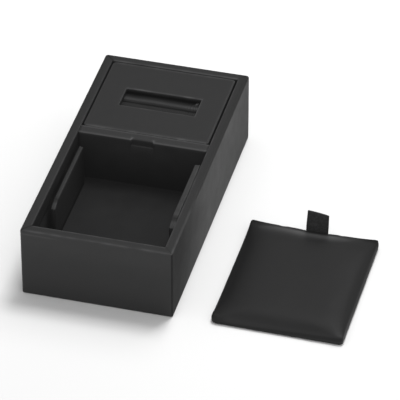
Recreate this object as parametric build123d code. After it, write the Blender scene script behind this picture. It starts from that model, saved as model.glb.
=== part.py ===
from build123d import *
import math
import os

# Jewelry display tray in black leatherette: an open tray with two bays, a ring
# insert that lifts out of the rear bay, and a cushioned pad with a ribbon tab
# that lies beside the tray and fits on the rails of the front bay.
# Millimetres. X runs across the tray, Y from its front to its rear, Z upwards.
# The origin is on the table, under the middle of the tray.

# Tray
tray_width = 102.0
tray_length = 204.0
tray_height = 52.5
wall_thickness = 6.5
skin = 0.6
corner_round = 1.4
rim_round = 0.9
hem_lift = 0.4
hem_width = 10.0
turn_in = 12.0
felt_thickness = 1.0
felt_gap = 0.5
base_thickness = 3.0

# Divider between the bays
front_bay_length = 105.8
divider_thickness = 8.0
notch_width = 15.0
notch_depth = 1.1
notch_height = 5.0

# Raised floor of the front bay
floor_depth = 37.0
floor_board_thickness = 2.4
floor_fit = 0.2
riser_width = 8.0
riser_inset = 6.0

# Rails of the front bay
rail_board_thickness = 1.45
rail_wall_gap = 3.3
rail_length = 67.0
rail_divider_gap = 7.8
rail_ramp_length = 7.5
rail_ramp_drop = 3.0
rail_round = 0.4
spacer_length = 7.0
spacer_end_gap = 9.0
spacer_top_drop = 12.0

# Ring insert of the rear bay
insert_side_gap = 0.8
insert_front_gap = 0.9
insert_rear_gap = 0.3
insert_recess = 0.5
insert_height = 24.0
insert_corner_round = 2.5
face_board_thickness = 2.2
skirt_thickness = 2.0
window_length = 52.6
window_width = 19.6
window_round = 0.8
ledge_thickness = 3.0
ledge_end_gap = 4.0

# Ring rolls under the window
roll_width = 17.0
roll_height = 11.0
roll_round = 5.0
roll_overlap = 5.0
carrier_thickness = 1.5

# Cushioned pad, which fits the front bay and lies to the right of the tray
pad_fit = 0.6
pad_board_thickness = 2.0
pad_edge_height = 4.6
pad_corner_height = 6.6
pad_crown_height = 8.6
pad_roll_off = 9.0
pad_shoulder_share = 0.75
pad_roll_out_share = 0.12
pad_roll_up_share = 0.16
pad_corner_power = 6
pad_swell_power = 6
pad_section_step = 30
pad_draw_in = 0.8
pad_hem_width = 8.0
pad_tray_gap = 25.7
pad_offset = -48.5
pad_turn = -0.6

# Ribbon pull tab near the middle of the pad's rear edge
ribbon_width = 14.4
ribbon_thickness = 0.3
tab_height = 12.8
tab_side_shift = 1.4
tab_loop_radius = 0.8
tab_pinch = 3.0
tab_lean = 11.0
tab_hinge_gap = 0.15
tab_hinge_rise = 0.3

# Heights of the tray's layers, from the table up
wall_bottom = felt_thickness
base_top = wall_bottom + base_thickness
board_rim = tray_height - skin
lining_top = tray_height - turn_in
floor_top = tray_height - floor_depth
floor_board_top = floor_top - skin
riser_top = floor_board_top - floor_board_thickness
rear_floor_top = base_top + skin

# Faces of the bays
inner_x = tray_width / 2 - wall_thickness
inner_y = tray_length / 2 - wall_thickness
board_inner_x = inner_x + skin
board_inner_y = inner_y + skin
board_outer_x = tray_width / 2 - skin
board_outer_y = tray_length / 2 - skin
divider_front = -inner_y + front_bay_length
divider_rear = divider_front + divider_thickness

# Rails stand on the raised floor and carry the pad with its corners at the rim
rail_thickness = rail_board_thickness + 2 * skin
rail_top = tray_height - pad_corner_height
rail_outer_x = inner_x - rail_wall_gap
rail_centre_x = rail_outer_x - rail_thickness / 2
rail_rear = divider_front - rail_divider_gap
rail_front = rail_rear - rail_length

# Ring insert, which rests on the ledges
insert_top = tray_height - insert_recess
insert_bottom = insert_top - insert_height
insert_half_width = inner_x - insert_side_gap
insert_front = divider_rear + insert_front_gap
insert_rear = inner_y - insert_rear_gap
insert_centre = (insert_front + insert_rear) / 2
face_top = insert_top - skin
face_bottom = face_top - face_board_thickness
skirt_outer_x = insert_half_width - skin
skirt_front_y = insert_front + skin
skirt_rear_y = insert_rear - skin
roll_length = window_length + 2 * roll_overlap
carrier_top = face_bottom - roll_height

# Pad, in its own frame: the middle of its underside is the origin
pad_width = 2 * (inner_x - pad_fit)
pad_length = front_bay_length - 2 * pad_fit
pad_board_bottom = hem_lift + skin
pad_board_top = pad_board_bottom + pad_board_thickness
pad_x = tray_width / 2 + pad_tray_gap + pad_width / 2
pad_place = Pos(pad_x, pad_offset, 0) * Rot(0, 0, pad_turn)

# Ribbon, two layers thick where it is glued down
tail_thickness = 2 * ribbon_thickness
tab_hinge_y = pad_length / 2 + tail_thickness / 2 + tab_hinge_gap
tab_hinge_z = pad_edge_height + tab_hinge_rise
tab_low_x = tab_side_shift - ribbon_width / 2
tab_high_x = tab_side_shift + ribbon_width / 2


def block(x_low, x_high, y_low, y_high, z_low, z_high):
    """Box between two corners."""
    middle = Pos((x_low + x_high) / 2, (y_low + y_high) / 2, (z_low + z_high) / 2)
    return middle * Box(x_high - x_low, y_high - y_low, z_high - z_low)


def upright_round(solid, radius):
    """Rounds the vertical edges of a box."""
    return fillet(solid.edges().filter_by(Axis.Z), radius)


def top_round(solid, radius):
    """Rounds the edges of a solid's highest face."""
    return fillet(solid.faces().sort_by(Axis.Z)[-1].edges(), radius)


def write(solid, node):
    """Writes one sub-part as a STEP file."""
    export_step(solid, os.path.join("parts", node + ".step"))


# Tray shell


def base_felt():
    """Felt sheet that the tray stands on, inside the turned-under hem."""
    half_x = tray_width / 2 - hem_width - felt_gap
    half_y = tray_length / 2 - hem_width - felt_gap
    return upright_round(block(-half_x, half_x, -half_y, half_y, 0, felt_thickness), corner_round)


def base_board():
    """Base board between the wall boards."""
    return block(-board_inner_x, board_inner_x, -board_inner_y, board_inner_y, wall_bottom, base_top)


def side_wall(side):
    """Wall board along one long side, -1 for the left and 1 for the right."""
    x_near, x_far = sorted((side * board_inner_x, side * board_outer_x))
    return block(x_near, x_far, -board_outer_y, board_outer_y, wall_bottom, board_rim)


def end_wall(end):
    """Wall board between the side walls, -1 for the front and 1 for the rear."""
    y_near, y_far = sorted((end * board_inner_y, end * board_outer_y))
    return block(-board_inner_x, board_inner_x, y_near, y_far, wall_bottom, board_rim)


def outer_wrap():
    """Leatherette over the walls' outsides, over the rim, turned in at the top and under the base."""
    half_x = tray_width / 2
    half_y = tray_length / 2
    hem_top = hem_lift + skin
    wrap = upright_round(block(-half_x, half_x, -half_y, half_y, hem_lift, tray_height), corner_round)
    wrap -= block(-inner_x, inner_x, -inner_y, inner_y, hem_top, tray_height + skin)
    wrap = top_round(wrap, rim_round)
    wrap -= block(-board_outer_x, board_outer_x, -board_outer_y, board_outer_y, hem_top, board_rim) - block(
        -board_inner_x, board_inner_x, -board_inner_y, board_inner_y, lining_top, board_rim
    )
    hem_x = half_x - hem_width
    hem_y = half_y - hem_width
    return wrap - block(-hem_x, hem_x, -hem_y, hem_y, 0, hem_top)


# Divider


def divider_form(inset):
    """Divider with its ribbon notch, drawn in by the inset on its faces, top and notch."""
    y_front = divider_front + inset
    y_rear = divider_rear - inset
    form = block(-inner_x, inner_x, y_front, y_rear, base_top, tray_height - inset)
    if inset == 0:
        form = fillet(form.faces().sort_by(Axis.Z)[-1].edges().filter_by(Axis.X), rim_round)
    notch_half = notch_width / 2 + inset
    notch_floor = tray_height - notch_height - inset
    notch_back = divider_front + notch_depth + inset
    return form - block(-notch_half, notch_half, divider_front - skin, notch_back, notch_floor, tray_height + skin)


# Linings


def bay_lining(end, y_divider_side, z_low):
    """Lining strip round three sides of a bay, up to the turned-in skin. The end is -1 or 1."""
    y_low, y_high = sorted((end * board_inner_y, y_divider_side))
    outside = block(-board_inner_x, board_inner_x, y_low, y_high, z_low, lining_top)
    y_in, y_out = sorted((end * inner_y, y_divider_side - end * skin))
    return outside - block(-inner_x, inner_x, y_in, y_out, z_low - skin, lining_top + skin)


def rear_floor_lining():
    """Lining sheet on the base board in the rear bay."""
    return block(
        -inner_x + floor_fit, inner_x - floor_fit, divider_rear + floor_fit, inner_y - floor_fit, base_top, rear_floor_top
    )


# Raised floor


def floor_sheet(z_low, z_high):
    """One layer of the raised floor."""
    return block(
        -inner_x + floor_fit, inner_x - floor_fit, -inner_y + floor_fit, divider_front - floor_fit, z_low, z_high
    )


def floor_risers():
    """Three battens under the raised floor, one along each side and one down the middle."""
    y_low = -inner_y + riser_inset
    y_high = divider_front - riser_inset
    side_centre = inner_x - riser_inset - riser_width / 2
    return [
        block(x - riser_width / 2, x + riser_width / 2, y_low, y_high, base_top, riser_top)
        for x in (-side_centre, 0, side_centre)
    ]


# Rails


def rail_outline(z_low):
    """Outline of a rail seen from the side: square at the rear, with a ramp at the front."""
    corners = [
        (rail_front, z_low),
        (rail_rear, z_low),
        (rail_rear, rail_top),
        (rail_front + rail_ramp_length, rail_top),
        (rail_front, rail_top - rail_ramp_drop),
    ]
    return make_face(Polyline(corners, close=True))


def rail_slab(outline, side, thickness):
    """Outline given its thickness and stood on the floor, to the left or the right."""
    slab = extrude(outline, thickness / 2, both=True)
    return Pos(side * rail_centre_x, 0, 0) * (Plane.YZ * slab)


def rail_board(side):
    """Board inside a rail."""
    outline = offset(rail_outline(floor_top - skin), -skin, kind=Kind.INTERSECTION)
    return rail_slab(outline, side, rail_board_thickness)


def rail_wrap(side):
    """Leatherette over a rail's faces, top and ends."""
    whole = rail_slab(rail_outline(floor_top), side, rail_thickness)
    top_and_ramp = whole.faces().sort_by(Axis.Z)[-2:]
    long_edges = top_and_ramp.edges().filter_by(Axis.X, reverse=True)
    return fillet(long_edges, rail_round) - rail_board(side)


def rail_spacers():
    """Blocks between the rails and the walls, two on each side."""
    x_low = rail_outer_x
    z_high = rail_top - spacer_top_drop
    blocks = []
    for y_low in (rail_front + rail_ramp_length + spacer_end_gap, rail_rear - spacer_end_gap - spacer_length):
        for side in (-1, 1):
            x_near, x_far = sorted((side * x_low, side * inner_x))
            blocks.append(block(x_near, x_far, y_low, y_low + spacer_length, floor_top, z_high))
    return blocks


# Ring insert


def ledge(side):
    """Board along a side of the rear bay, which carries the ring insert."""
    x_near, x_far = sorted((side * (inner_x - ledge_thickness), side * inner_x))
    return block(
        x_near, x_far, divider_rear + ledge_end_gap, inner_y - ledge_end_gap, rear_floor_top, insert_bottom
    )


def window_block(inset, z_low, z_high):
    """Space of the window, made smaller by the inset."""
    half_x = window_length / 2 - inset
    half_y = window_width / 2 - inset
    return block(-half_x, half_x, insert_centre - half_y, insert_centre + half_y, z_low, z_high)


def insert_body(inset, z_low, z_high):
    """Outer form of the insert, drawn in by the inset, with rounded upright corners."""
    half_x = insert_half_width - inset
    body = block(-half_x, half_x, insert_front + inset, insert_rear - inset, z_low, z_high)
    return upright_round(body, insert_corner_round - inset)


def insert_face():
    """Face board with the window, which is larger than the finished one by the skin."""
    return insert_body(skin, face_bottom, face_top) - window_block(-skin, face_bottom - skin, face_top + skin)


def insert_cover():
    """Leatherette over the face and the skirt, turned down through the window."""
    cover = insert_body(0, insert_bottom, insert_top) - window_block(0, insert_bottom - skin, insert_top + skin)
    cover = top_round(cover, window_round)
    cover -= insert_body(skin, insert_bottom, face_bottom)
    return cover - insert_face()


def skirt_side(side):
    """Card along one side under the face board."""
    x_near, x_far = sorted((side * (skirt_outer_x - skirt_thickness), side * skirt_outer_x))
    card_round = insert_corner_round - skin
    return block(
        x_near, x_far, skirt_front_y + card_round, skirt_rear_y - card_round, insert_bottom, face_bottom
    )


def skirt_end(end):
    """Card across the front or the rear under the face board, between the side cards."""
    half_x = skirt_outer_x - skirt_thickness
    y_outer = skirt_rear_y if end > 0 else skirt_front_y
    y_near, y_far = sorted((y_outer, y_outer - end * skirt_thickness))
    return block(-half_x, half_x, y_near, y_far, insert_bottom, face_bottom)


def roll_carrier():
    """Card that the rolls are glued to, fixed between the side cards of the skirt."""
    half_x = skirt_outer_x - skirt_thickness
    return block(
        -half_x,
        half_x,
        insert_centre - roll_width,
        insert_centre + roll_width,
        carrier_top - carrier_thickness,
        carrier_top,
    )


def roll_section(side, inset):
    """End view of a ring roll: flat below, rounded above, drawn in by the inset."""
    y_slit = insert_centre + side * inset
    y_outer = insert_centre + side * (roll_width - inset)
    z_high = face_bottom - inset
    radius = roll_round - inset
    low = Rectangle(roll_width - 2 * inset, z_high - carrier_top)
    low = Pos((y_slit + y_outer) / 2, (z_high + carrier_top) / 2) * low
    return fillet(low.vertices().sort_by(Axis.Y)[2:], radius)


def roll_core(side):
    """Foam bar of a ring roll, -1 for the front one and 1 for the rear one."""
    return Plane.YZ * extrude(roll_section(side, skin), roll_length / 2, both=True)


def roll_cover(side):
    """Leatherette round a foam bar, glued down to the carrier."""
    return Plane.YZ * extrude(roll_section(side, 0), roll_length / 2, both=True) - roll_core(side)


# Pad


def pad_section(station, inset):
    """Cross-section of the pad above its board, at a station between -1, its front, and 1, its rear."""
    half_x = pad_width / 2 - inset
    upper_x = half_x - pad_draw_in * (1 - station**2)
    shoulder_x = upper_x - pad_roll_off
    lift = abs(station) ** pad_corner_power
    edge_z = pad_edge_height + (pad_corner_height - pad_edge_height) * lift - inset
    swell = 1 - abs(station) ** pad_swell_power
    crown_z = pad_edge_height + (pad_crown_height - pad_edge_height) * swell - inset
    shoulder_z = edge_z + pad_shoulder_share * (crown_z - edge_z)
    roll_x = (upper_x + shoulder_x) / 2 + pad_roll_out_share * pad_roll_off
    roll_z = (edge_z + shoulder_z) / 2 + pad_roll_up_share * (shoulder_z - edge_z)
    lines = [
        Line((-half_x, pad_board_top), (half_x, pad_board_top)),
        Line((half_x, pad_board_top), (upper_x, edge_z)),
        ThreePointArc((upper_x, edge_z), (roll_x, roll_z), (shoulder_x, shoulder_z)),
        ThreePointArc((shoulder_x, shoulder_z), (0, crown_z), (-shoulder_x, shoulder_z)),
        ThreePointArc((-shoulder_x, shoulder_z), (-roll_x, roll_z), (-upper_x, edge_z)),
        Line((-upper_x, edge_z), (-half_x, pad_board_top)),
    ]
    half_y = pad_length / 2 - inset
    return Plane(origin=(0, station * half_y, 0), x_dir=(1, 0, 0), z_dir=(0, -1, 0)) * make_face(lines)


def pad_crown(inset):
    """Crowned form of the pad above its board, drawn in by the inset."""
    angles = range(-90, 90 + pad_section_step, pad_section_step)
    return loft([pad_section(math.sin(math.radians(angle)), inset) for angle in angles])


def pad_slab(inset, z_low, z_high):
    """Flat layer of the pad, drawn in by the inset."""
    half_x = pad_width / 2 - inset
    half_y = pad_length / 2 - inset
    return block(-half_x, half_x, -half_y, half_y, z_low, z_high)


def tail_leg():
    """Ribbon's glued end under the board, level with the hem."""
    y_low = pad_length / 2 - pad_hem_width
    y_high = pad_length / 2 + tail_thickness
    return block(tab_low_x, tab_high_x, y_low, y_high, hem_lift, pad_board_bottom)


def pad_board():
    """Greyboard under the foam."""
    return pad_slab(skin, pad_board_bottom, pad_board_top)


def pad_foam():
    """Crowned foam on the board."""
    return pad_crown(skin)


def pad_cover():
    """Leatherette over the foam, round the board's edges and hemmed underneath."""
    cover = pad_crown(0) + pad_slab(0, hem_lift, pad_board_top) - pad_foam() - pad_board()
    cover -= pad_slab(pad_hem_width, 0, pad_board_bottom)
    return cover - tail_leg()


def pad_backing():
    """Flocked sheet inside the hem on the underside."""
    return pad_slab(pad_hem_width, 0, pad_board_bottom)


def tab_tail():
    """Glued end of the ribbon: under the board and up the outside of the pad's rear edge."""
    y_face = pad_length / 2
    z_high = tab_hinge_z - tail_thickness / 2 - tab_hinge_gap
    upright = block(tab_low_x, tab_high_x, y_face, y_face + tail_thickness, hem_lift, z_high)
    return tail_leg() + upright


def tab_loop():
    """Side view of the standing loop: pinched at its foot and round at its fold."""
    foot = tail_thickness / 2
    fold_z = tab_height - tab_loop_radius
    hollow = tab_loop_radius - ribbon_thickness
    outside = [
        ThreePointArc((-foot, 0), (0, -foot), (foot, 0)),
        Line((foot, 0), (tab_loop_radius, fold_z)),
        ThreePointArc((tab_loop_radius, fold_z), (0, tab_height), (-tab_loop_radius, fold_z)),
        Line((-tab_loop_radius, fold_z), (-foot, 0)),
    ]
    inside = [
        Line((0, tab_pinch), (hollow, fold_z)),
        ThreePointArc((hollow, fold_z), (0, fold_z + hollow), (-hollow, fold_z)),
        Line((-hollow, fold_z), (0, tab_pinch)),
    ]
    return make_face(outside) - make_face(inside)


def pull_tab():
    """Standing ribbon loop, leaning to the rear from the line where it folds."""
    strip = Plane.YZ * extrude(tab_loop(), ribbon_width / 2, both=True)
    return Pos(tab_side_shift, tab_hinge_y, tab_hinge_z) * Rot(-tab_lean, 0, 0) * strip


def main():
    """Builds every sub-part and writes it."""
    os.makedirs("parts", exist_ok=True)

    write(base_felt(), "base_felt")
    write(base_board(), "base_board")
    write(end_wall(-1), "front_wall")
    write(end_wall(1), "rear_wall")
    write(side_wall(-1), "left_wall")
    write(side_wall(1), "right_wall")
    write(outer_wrap(), "outer_wrap")

    write(divider_form(skin), "divider")
    write(divider_form(0) - divider_form(skin), "divider_wrap")
    write(bay_lining(-1, divider_rear, base_top), "front_bay_lining")
    write(bay_lining(1, divider_rear, base_top), "rear_bay_lining")
    write(rear_floor_lining(), "rear_floor_lining")

    write(Compound(children=floor_risers()), "floor_risers")
    write(floor_sheet(riser_top, floor_board_top), "floor_board")
    write(floor_sheet(floor_board_top, floor_top), "floor_lining")
    for side, name in ((-1, "left"), (1, "right")):
        write(rail_board(side), name + "_rail")
        write(rail_wrap(side), name + "_rail_wrap")
        write(ledge(side), name + "_ledge")
        write(skirt_side(side), "skirt_" + name)
    write(Compound(children=rail_spacers()), "rail_spacers")

    write(insert_face(), "insert_face")
    write(insert_cover(), "insert_cover")
    write(roll_carrier(), "roll_carrier")
    for end, name in ((-1, "front"), (1, "rear")):
        write(skirt_end(end), "skirt_" + name)
        write(roll_core(end), name + "_roll_core")
        write(roll_cover(end), name + "_roll_cover")

    write(pad_place * pad_backing(), "pad_backing")
    write(pad_place * pad_board(), "pad_board")
    write(pad_place * pad_foam(), "pad_foam")
    write(pad_place * pad_cover(), "pad_cover")
    write(pad_place * tab_tail(), "tab_tail")
    write(pad_place * pull_tab(), "pull_tab")


main()
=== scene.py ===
import math

import bmesh
import bpy
from mathutils import Matrix, Vector, noise


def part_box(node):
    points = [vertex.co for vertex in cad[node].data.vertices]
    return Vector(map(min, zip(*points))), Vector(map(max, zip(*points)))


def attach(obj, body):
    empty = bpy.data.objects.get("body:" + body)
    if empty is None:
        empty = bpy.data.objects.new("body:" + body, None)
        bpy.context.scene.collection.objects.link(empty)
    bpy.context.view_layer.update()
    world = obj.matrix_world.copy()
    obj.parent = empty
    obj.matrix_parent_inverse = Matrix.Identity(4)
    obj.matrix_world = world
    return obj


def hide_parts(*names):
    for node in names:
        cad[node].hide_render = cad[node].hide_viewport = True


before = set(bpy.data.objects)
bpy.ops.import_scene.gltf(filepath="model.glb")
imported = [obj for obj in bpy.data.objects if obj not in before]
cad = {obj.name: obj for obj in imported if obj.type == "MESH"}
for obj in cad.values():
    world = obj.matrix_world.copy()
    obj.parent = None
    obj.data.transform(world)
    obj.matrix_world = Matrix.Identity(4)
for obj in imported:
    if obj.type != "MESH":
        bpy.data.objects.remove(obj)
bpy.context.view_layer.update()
MM = 0.001

# Boards of the tray, the ring insert and the pad
# Grey recycled board, die-cut and glued edge to edge. Leatherette hides nearly all of it: a
# thin line shows round the felt underneath, and the insert's inside once it is lifted out.

BOARD_NODES = [
    "base_board", "front_wall", "rear_wall", "left_wall", "right_wall", "divider",
    "floor_risers", "floor_board", "left_rail", "right_rail", "rail_spacers",
    "left_ledge", "right_ledge", "pad_board", "roll_carrier", "insert_face",
    "skirt_front", "skirt_rear", "skirt_left", "skirt_right",
]
BOARD_PALE = (0.30, 0.285, 0.265, 1)
BOARD_DARK = (0.17, 0.16, 0.15, 1)
BOARD_FLECK = 1.4 * MM
BOARD_FUZZ = 0.05 * MM


def start_finish(name, roughness, shine=0.5):
    """Starts a material and hands it back with its node tree and its shader."""
    finish = bpy.data.materials.new(name)
    finish.use_nodes = True
    tree = finish.node_tree
    shader = tree.nodes["Principled BSDF"]
    shader.inputs["Roughness"].default_value = roughness
    shader.inputs["Specular IOR Level"].default_value = shine
    return finish, tree, shader


def add_node(tree, kind, feeds, **settings):
    """Adds a shader node and feeds its sockets with numbers, colours or other nodes' outputs."""
    node = tree.nodes.new(kind)
    for setting, value in settings.items():
        setattr(node, setting, value)
    for socket, value in feeds.items():
        if isinstance(value, bpy.types.NodeSocket):
            tree.links.new(value, node.inputs[socket])
        else:
            node.inputs[socket].default_value = value
    return node


def object_place(tree):
    """Where a point lies on the piece, in metres."""
    return add_node(tree, "ShaderNodeTexCoord", {}).outputs["Object"]


def lumps(tree, place, size, detail, distortion=0.0):
    """Soft noise over a piece, whose lumps are about the given size."""
    feeds = {"Vector": place, "Scale": 1 / size, "Detail": detail, "Distortion": distortion}
    return add_node(tree, "ShaderNodeTexNoise", feeds).outputs["Fac"]


def mix_tones(tree, share, first, second):
    """A colour that goes from the first to the second with the share."""
    mix = add_node(tree, "ShaderNodeMix", {"Factor": share, "A": first, "B": second}, data_type="RGBA")
    return mix.outputs["Result"]


def set_surface(tree, shader, colour, height, strength, depth):
    """Gives a shader its colour, and a relief of the given depth that follows the height."""
    relief = add_node(tree, "ShaderNodeBump", {"Strength": strength, "Distance": depth, "Height": height})
    tree.links.new(colour, shader.inputs["Base Color"])
    tree.links.new(relief.outputs["Normal"], shader.inputs["Normal"])


def cover_with(finish, names):
    """Gives CAD nodes a finish in place of their plain one."""
    for name in names:
        cad[name].data.materials.clear()
        cad[name].data.materials.append(finish)


def make_greyboard():
    """Grey board with paler and darker fibres pressed into it."""
    finish, tree, shader = start_finish("greyboard", roughness=0.9)
    flecks = lumps(tree, object_place(tree), BOARD_FLECK, detail=6.0)
    tone = mix_tones(tree, flecks, BOARD_DARK, BOARD_PALE)
    set_surface(tree, shader, tone, height=flecks, strength=0.4, depth=BOARD_FUZZ)
    return finish


cover_with(make_greyboard(), BOARD_NODES)

# Tray wrap: one sheet of black leatherette
# It goes up the outside of the walls, over the rim and down the inside, with the corners
# of the rim mitred, and turns under the base as a hem.

SKIN = 0.6 * MM
WALL = 6.5 * MM
WRAP_LOW, WRAP_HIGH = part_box("outer_wrap")
TRAY_HALF_X, TRAY_HALF_Y, RIM_Z = WRAP_HIGH.x, WRAP_HIGH.y, WRAP_HIGH.z
HEM_Z = WRAP_LOW.z
WELL_HALF_X, WELL_HALF_Y = TRAY_HALF_X - WALL, TRAY_HALF_Y - WALL
WRAP_STEPS = (68, 136)
CORNER_STEPS = 6
RIM_ROUND = 0.9 * MM
RIM_OUTER_ROUND = 1.5 * MM
RIM_REACH = 1.2 * MM
HEM_ROUND = 0.5 * MM
HEM_WIDTH = 10 * MM
TURN_IN = 12 * MM
OUTER_CORNER = 1.4 * MM
INNER_CORNER = 0.25 * MM
RIDGE_DROP = 3.2 * MM
RIDGE_WIDTH = 0.6 * MM
RIDGE_HEIGHT = 0.1 * MM
RIDGE_END = -22 * MM
RIDGE_FADE = 12 * MM
MITRE_DEPTH = 0.16 * MM
MITRE_WIDTH = 0.42 * MM
RIGHT_MITRE = 0.3
WAVE_HEIGHT, WAVE_SIZE = 0.05 * MM, 16 * MM
RIPPLE_HEIGHT, RIPPLE_SIZE = 0.03 * MM, 5 * MM
STREAK_HEIGHT, STREAK_WIDTH, STREAK_LENGTH = 0.02 * MM, 3 * MM, 40 * MM
WALL_SWELL = 0.07 * MM
# Painted highlights along the rim's inner and outer edges, as strengths for each side; below nought, painted
# shade
RIM_EDGE_PAINTED_LIGHT = {"front": (1.3, 0.8), "rear": (0.8, -1.5), "left": (0.2, 0.15), "right": (0.7, 0.15)}
RIM_EDGE_MIDDLE = 0.29 * RIM_ROUND
EDGE_HIGHLIGHT_WIDTH = 0.7 * MM
OUTER_HIGHLIGHT_WIDTH = 0.8 * MM
# Painted light on the tray's front face
FRONT_PAINTED_LIGHT = 0.11
PATCH_SIZE = 14 * MM
ROUGH_SPREAD = 0.04
RUB_POLISH = 0.2
LEATHER_TONE = (0.0026, 0.0026, 0.0027, 1)
LEATHER_PATCH = (0.0038, 0.0038, 0.0039, 1)
# A paler tone for rubbed edges and painted highlights, and a near-black one for painted shade
LEATHER_RUBBED_AND_HIGHLIGHT = (0.041, 0.041, 0.0415, 1)
LEATHER_PAINTED_SHADE = (0.0015, 0.0015, 0.0015, 1)


def stretch(tree, value, low, high, to_low=0.0, to_high=1.0):
    """Spreads a value's run from low to high over the run from to_low to to_high."""
    feeds = {"Value": value, "From Min": low, "From Max": high, "To Min": to_low, "To Max": to_high}
    return add_node(tree, "ShaderNodeMapRange", feeds).outputs[0]


def reckon(tree, operation, *terms):
    """Works out one step of arithmetic in a node tree."""
    return add_node(tree, "ShaderNodeMath", dict(enumerate(terms)), operation=operation).outputs[0]


def read_wear_and_painted_light(tree):
    """The attribute wear_and_painted_light that a piece marks itself with: -1 for painted shade, 1 for a
    rubbed edge with a painted highlight.
    """
    return add_node(tree, "ShaderNodeAttribute", {}, attribute_name="wear_and_painted_light").outputs["Fac"]


def make_leatherette(name, tone, patch, roughness, pebble, depth, shine):
    """Embossed black leatherette: fine pebbles and slow changes of tone, with a paler tone for rubbed edges
    and painted highlights and a near-black one for painted shade.
    """
    finish, tree, shader = start_finish(name, roughness, shine)
    place = object_place(tree)
    slow = lumps(tree, place, PATCH_SIZE, detail=4.0)
    fine = lumps(tree, place, 0.5 * pebble, detail=3.0)
    grain = add_node(tree, "ShaderNodeTexVoronoi", {"Vector": place, "Scale": 1 / pebble})
    height = reckon(tree, "MULTIPLY_ADD", grain.outputs["Distance"], -0.8, fine)
    wear_and_painted_light = read_wear_and_painted_light(tree)
    # Painted light: above nought the tone turns paler for highlights, below nought near-black for shade
    rubbed_and_highlit = stretch(tree, wear_and_painted_light, 0.0, 1.0)
    creased = stretch(tree, wear_and_painted_light, 0.0, -1.0)
    patches = stretch(tree, slow, 0.35, 0.7)
    plain = mix_tones(tree, patches, tone, patch)
    paler_with_highlights = mix_tones(tree, rubbed_and_highlit, plain, LEATHER_RUBBED_AND_HIGHLIGHT)
    colour = mix_tones(tree, creased, paler_with_highlights, LEATHER_PAINTED_SHADE)
    dull = stretch(tree, slow, 0.3, 0.7, roughness - ROUGH_SPREAD, roughness + ROUGH_SPREAD)
    rough = reckon(tree, "MULTIPLY_ADD", wear_and_painted_light, -RUB_POLISH, dull)
    tree.links.new(rough, shader.inputs["Roughness"])
    set_surface(tree, shader, colour, height, strength=0.6, depth=depth)
    return finish


def rounded_loop(half_x, half_y, corner, z, centre_y=0.0, steps=WRAP_STEPS):
    """Points round a rectangle with rounded corners. Loops with equal steps match point for point."""
    points = []
    for turn, (side_x, side_y) in enumerate(((1, 1), (-1, 1), (-1, -1), (1, -1))):
        middle = Vector((side_x * (half_x - corner), centre_y + side_y * (half_y - corner), z))
        for step in range(CORNER_STEPS + 1):
            angle = math.radians(90 * (turn + step / CORNER_STEPS))
            points.append(middle + corner * Vector((math.cos(angle), math.sin(angle), 0)))
        start = points[-1]
        along = Vector((-2 * (half_x - corner), 0, 0))
        if turn % 2 == 1:
            along = Vector((0, -2 * (half_y - corner), 0))
        if turn >= 2:
            along = -along
        side_steps = steps[turn % 2]
        points += [start + along * (step / side_steps) for step in range(1, side_steps)]
    return points


def place_object(name, data):
    """Puts a mesh, a lamp or a camera into the scene under a name."""
    piece = bpy.data.objects.new(name, data)
    bpy.context.scene.collection.objects.link(piece)
    return piece


def mark_wear_and_painted_light(mesh, values):
    """Writes the wear and painted light of each point of a mesh, for its finish to read."""
    mesh.attributes.new("wear_and_painted_light", "FLOAT", "POINT").data.foreach_set("value", values)


def skin_between(name, loops, finish, joined=False, lower_finish=None, lower_z=0.0):
    """Joins equal loops of points into a smooth-shaded piece, whose ends are joined or else capped.

    Each point comes with its wear and painted light. A lower finish covers the upright faces below its
    height.
    """
    count = len(loops[0])
    rows = len(loops) if joined else len(loops) - 1
    faces = []
    for row in range(rows):
        low, high = row * count, (row + 1) % len(loops) * count
        for i in range(count):
            j = (i + 1) % count
            faces.append((low + i, low + j, high + j, high + i))
    if not joined:
        faces.append(tuple(range(count)))
        faces.append(tuple(range((len(loops) - 1) * count, len(loops) * count)))
    mesh = bpy.data.meshes.new(name)
    mesh.from_pydata([point for loop in loops for point, rub_and_painted_light in loop], [], faces)
    shell = bmesh.new()
    shell.from_mesh(mesh)
    bmesh.ops.recalc_face_normals(shell, faces=shell.faces)
    shell.to_mesh(mesh)
    shell.free()
    mesh.shade_smooth()
    mesh.materials.append(finish)
    mark_wear_and_painted_light(mesh, [rub_and_painted_light for loop in loops for point, rub_and_painted_light in loop])
    if lower_finish:
        mesh.materials.append(lower_finish)
        for face in mesh.polygons:
            face.material_index = int(face.center.z < lower_z and abs(face.normal.z) < 0.5)
    return place_object(name, mesh)


def arc(centre, radius, start, end, steps):
    """Points of an arc in a profile drawn as (distance outward, height), angles in degrees."""
    angles = [math.radians(start + (end - start) * step / steps) for step in range(steps + 1)]
    return [(centre[0] + radius * math.cos(a), centre[1] + radius * math.sin(a)) for a in angles]


def line(start, end, steps):
    """Points between two ends of a profile, without the ends."""
    return [(start[0] + (end[0] - start[0]) * step / steps, start[1] + (end[1] - start[1]) * step / steps)
            for step in range(1, steps)]


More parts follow.
